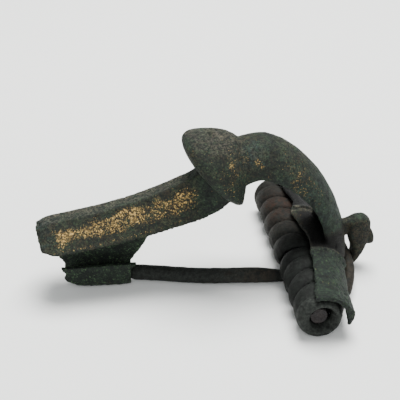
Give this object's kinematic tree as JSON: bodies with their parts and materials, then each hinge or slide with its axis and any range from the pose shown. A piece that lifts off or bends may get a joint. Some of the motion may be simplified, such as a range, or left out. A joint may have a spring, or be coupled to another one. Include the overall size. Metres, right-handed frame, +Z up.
{
  "type": "fibula brooch",
  "caption": "Two-lobed roll-cap bow brooch of cast bronze, with a comb on the bow, a folded catch, and a sprung pin wound round an iron axle.",
  "frame": {"origin": "middle of the outline, on the surface that the catch and the spring stand on", "axes": "+X from the foot to the spring, +Y along the spring, +Z up through the bow"},
  "size_m": [0.0532, 0.0368, 0.0254],
  "materials": {
    "bow_bronze": "dark green patina with gilt flecks",
    "wire_bronze": "dark brown-black patina",
    "rusted_iron": "brown rust"
  },
  "bodies": {
    "root": {"bow": "bow_bronze", "spring_and_pin": "wire_bronze", "axle": "rusted_iron"}
  },
  "joints": []
}
